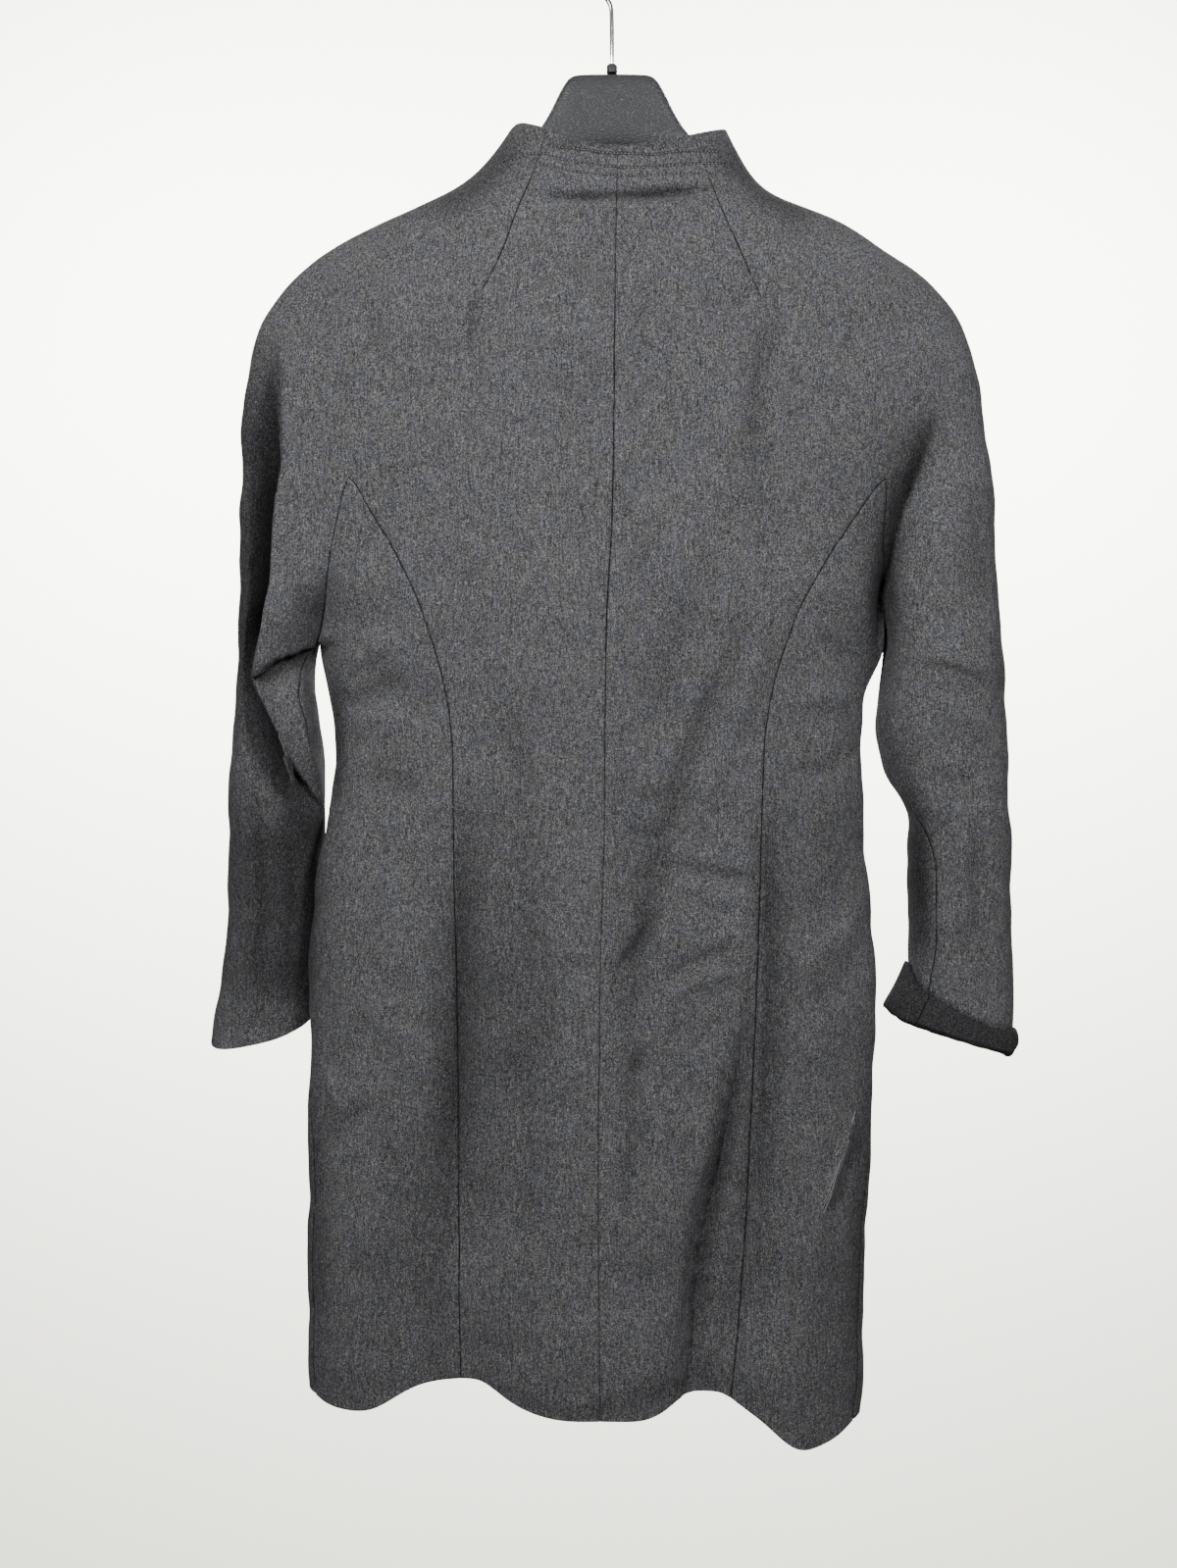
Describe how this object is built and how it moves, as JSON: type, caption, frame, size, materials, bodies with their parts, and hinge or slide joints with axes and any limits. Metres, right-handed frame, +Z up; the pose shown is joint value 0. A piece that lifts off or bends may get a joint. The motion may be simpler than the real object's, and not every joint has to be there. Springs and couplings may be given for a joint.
{
  "type": "coat dress on a hanger",
  "caption": "Knee-length wool coat dress with a stand neck, set-in princess panels and long sleeves, buttoned and hung on a contoured hanger.",
  "frame": {"origin": "the inside top of the hook's arc, where it rests on a rail", "axes": "+Z up, +Y towards the garment's front, +X towards the wearer's right, which is the right of the back view"},
  "size_m": [0.6313, 0.1342, 1.1518],
  "materials": {
    "wool": "charcoal grey melange wool coating, soft nap",
    "button": "dark, slightly glossy",
    "hanger": "black, fine satin texture",
    "hook": "polished"
  },
  "bodies": {
    "root": {"back_left": "wool", "back_right": "wool", "side_back_left": "wool", "side_back_right": "wool", "front_left": "wool", "front_right": "wool", "turned_cuff_right": "wool", "button_1": "button", "button_2": "button", "button_3": "button", "button_4": "button", "button_5": "button", "button_6": "button", "button_7": "button", "hanger": "hanger", "hanger_boss": "hanger", "hanger_hook": "hook"}
  },
  "joints": []
}
